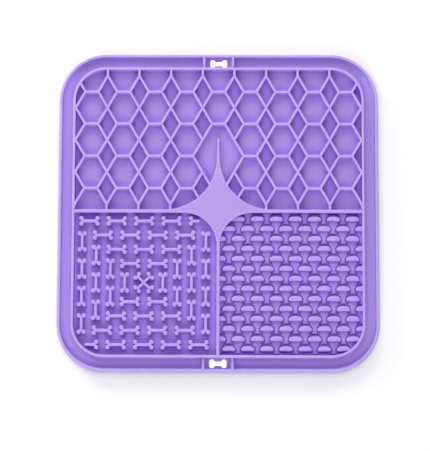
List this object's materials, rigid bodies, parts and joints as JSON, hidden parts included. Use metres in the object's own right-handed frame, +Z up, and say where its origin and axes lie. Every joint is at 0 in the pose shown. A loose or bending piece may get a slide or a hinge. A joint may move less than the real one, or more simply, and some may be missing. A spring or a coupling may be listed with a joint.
{
  "type": "lick mat",
  "caption": "Square silicone lick mat with round corners, spill gutter, honeycomb half, bone ridges, D-shaped nubs, central star, bone-shaped hanging holes and suction cups underneath.",
  "frame": {"origin": "on the floor under the middle of the mat, at the height of the cup lips", "axes": "+Z up out of the licking side, +X to the right and +Y towards the honeycomb half"},
  "size_m": [0.2, 0.2, 0.01],
  "materials": {
    "silicone": "satin lavender silicone, softly glossy on the rounded edges"
  },
  "bodies": {
    "root": {"field_sheet": "silicone", "gutter_floor": "silicone", "hanger_top": "silicone", "hanger_bottom": "silicone", "outer_rim": "silicone", "inner_rim": "silicone", "gutter_dams": "silicone", "divider_left": "silicone", "divider_right": "silicone", "divider_lower": "silicone", "centre_star": "silicone", "star_spike": "silicone", "honeycomb_rising_ribs": "silicone", "honeycomb_falling_ribs": "silicone", "honeycomb_level_ribs": "silicone", "honeycomb_upright_ribs": "silicone", "bone_ring_1": "silicone", "bone_ring_2": "silicone", "bone_ring_3": "silicone", "bone_ring_4": "silicone", "crossed_bones": "silicone", "nub_row_1": "silicone", "nub_row_2": "silicone", "nub_row_3": "silicone", "nub_row_4": "silicone", "nub_row_5": "silicone", "nub_row_6": "silicone", "nub_row_7": "silicone", "nub_row_8": "silicone", "nub_row_9": "silicone", "nub_row_10": "silicone", "nub_row_11": "silicone", "nub_row_12": "silicone", "nub_row_13": "silicone", "nub_row_14": "silicone", "nub_necks": "silicone", "suction_cups": "silicone"}
  },
  "joints": []
}
